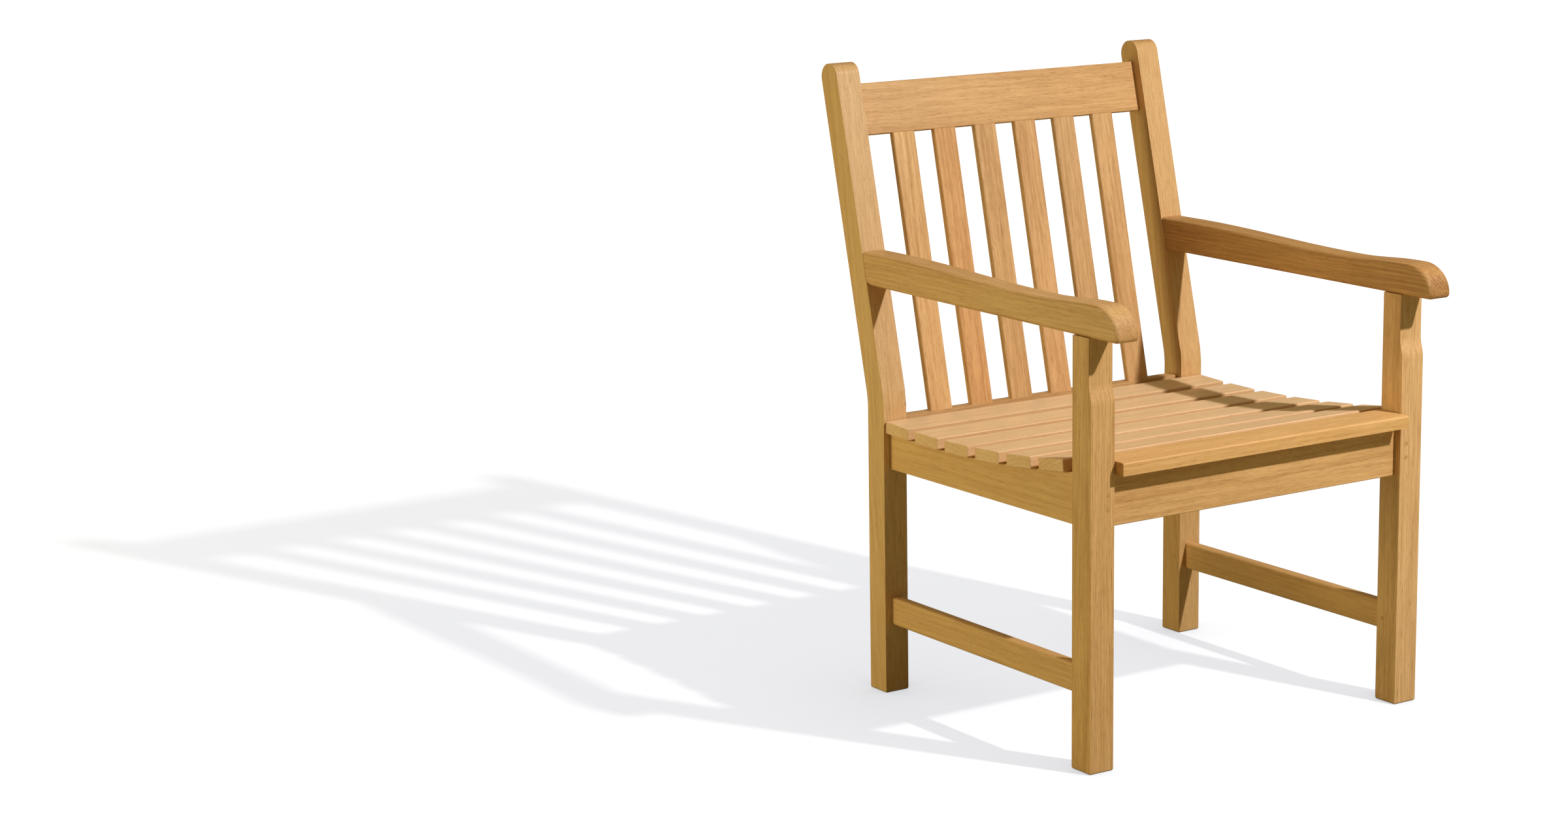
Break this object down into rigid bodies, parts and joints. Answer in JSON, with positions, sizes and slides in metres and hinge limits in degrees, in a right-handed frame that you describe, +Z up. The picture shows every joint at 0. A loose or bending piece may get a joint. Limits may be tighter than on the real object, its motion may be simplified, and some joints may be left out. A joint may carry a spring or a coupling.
{
  "type": "wooden garden armchair",
  "caption": "Slatted hardwood armchair with raked back posts, dished slatted seat, curved arms and side stretchers, joined by pegged mortises and tenons.",
  "frame": {"origin": "on the floor, below the middle of the chair's bounding box", "axes": "+Z up, the sitter faces -Y, +X to the right of someone who stands in front of the chair"},
  "size_m": [0.6, 0.6837, 0.92],
  "materials": {
    "leg_timber": "satin oiled hardwood, fine straight grain",
    "rail_timber": "satin oiled hardwood, fine straight grain",
    "back_timber": "satin oiled hardwood, wavy fine grain",
    "arm_timber": "satin oiled hardwood, sanded smooth",
    "seat_timber": "satin oiled hardwood, pale and smooth",
    "peg_timber": "end grain, slightly darker"
  },
  "bodies": {
    "root": {"rear_post_left": "leg_timber", "rear_post_right": "leg_timber", "front_leg_left": "leg_timber", "front_leg_right": "leg_timber", "front_rail": "rail_timber", "rear_rail": "rail_timber", "side_rail_left": "rail_timber", "side_rail_right": "rail_timber", "stretcher_left": "rail_timber", "stretcher_right": "rail_timber", "crest_rail": "back_timber", "back_slat_1": "back_timber", "back_slat_2": "back_timber", "back_slat_3": "back_timber", "back_slat_4": "back_timber", "back_slat_5": "back_timber", "back_slat_6": "back_timber", "arm_left": "arm_timber", "arm_right": "arm_timber", "seat_slat_1": "seat_timber", "seat_slat_2": "seat_timber", "seat_slat_3": "seat_timber", "seat_slat_4": "seat_timber", "seat_slat_5": "seat_timber", "seat_slat_6": "seat_timber", "front_seat_slat": "seat_timber", "front_rail_pegs": "peg_timber", "rear_rail_pegs": "peg_timber", "side_rail_pegs": "peg_timber", "stretcher_pegs": "peg_timber", "crest_rail_pegs": "peg_timber", "seat_slat_dowels": "peg_timber", "front_slat_dowels": "peg_timber"}
  },
  "joints": []
}
